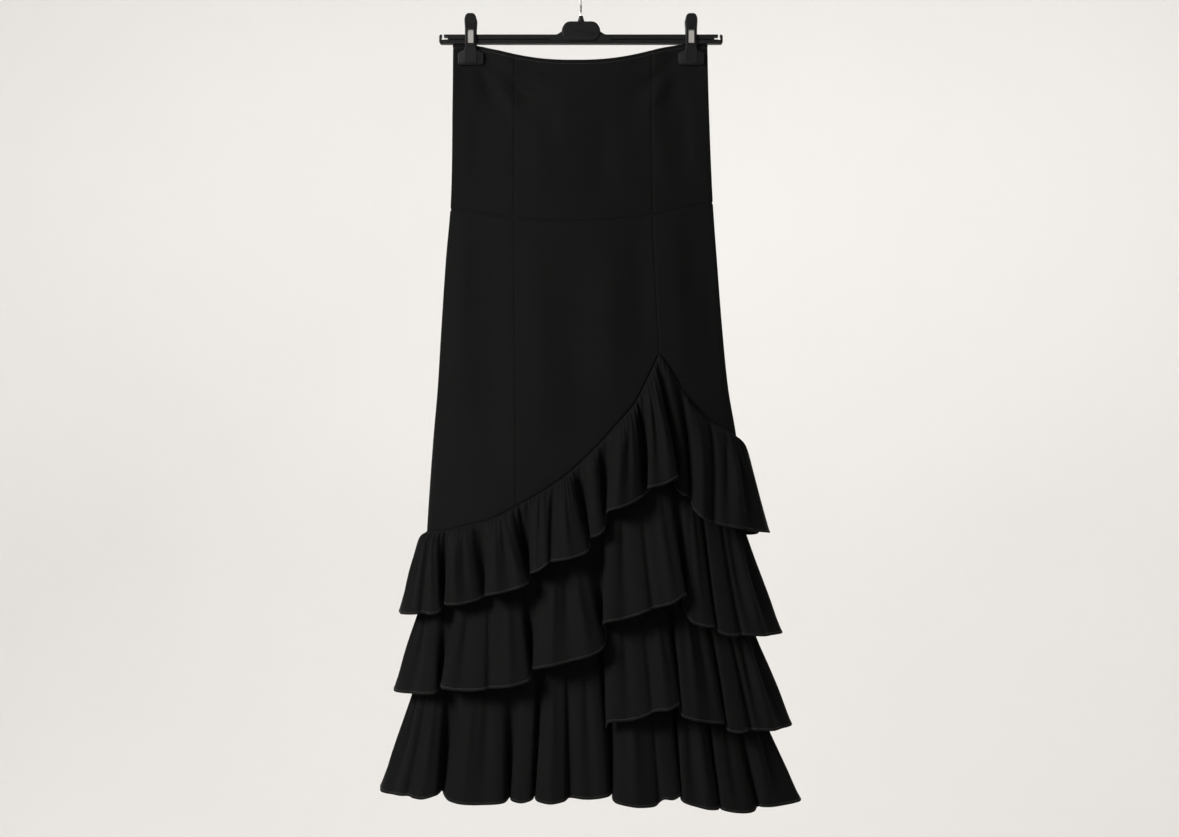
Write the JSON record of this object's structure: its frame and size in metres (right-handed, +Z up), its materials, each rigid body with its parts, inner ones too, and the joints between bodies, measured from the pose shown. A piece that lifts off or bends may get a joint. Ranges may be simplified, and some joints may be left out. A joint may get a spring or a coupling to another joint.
{
  "type": "flamenco skirt on a clip hanger",
  "caption": "Long black flamenco skirt with a yoke, a slanted ruffle line and tiers of ruffles, hung flat by its waist from the two clips of a plastic hanger.",
  "frame": {"origin": "inner top of the hanger's hook, where the rail carries it", "axes": "+Z up, +X to the right seen from the front, +Y from the front of the skirt to its back"},
  "size_m": [0.5304, 0.2261, 1.0386],
  "materials": {
    "black_crepe": "matte",
    "black_plastic": "satin",
    "bright_steel": "polished"
  },
  "bodies": {
    "root": {"yoke_front_left": "black_crepe", "yoke_front_center": "black_crepe", "yoke_front_right": "black_crepe", "yoke_back": "black_crepe", "body_front_left": "black_crepe", "body_front_center": "black_crepe", "body_front_right": "black_crepe", "body_back": "black_crepe", "underskirt_front": "black_crepe", "underskirt_back": "black_crepe", "ruffle_1_front": "black_crepe", "ruffle_1_back": "black_crepe", "ruffle_2_front": "black_crepe", "ruffle_2_back": "black_crepe", "ruffle_3_front": "black_crepe", "ruffle_3_back": "black_crepe", "ruffle_4_front": "black_crepe", "ruffle_4_back": "black_crepe", "hanger_bar": "black_plastic", "left_clip_front_jaw": "black_plastic", "left_clip_back_jaw": "black_plastic", "right_clip_front_jaw": "black_plastic", "right_clip_back_jaw": "black_plastic", "hanger_hook": "bright_steel", "left_clip_spring": "bright_steel", "right_clip_spring": "bright_steel"}
  },
  "joints": []
}
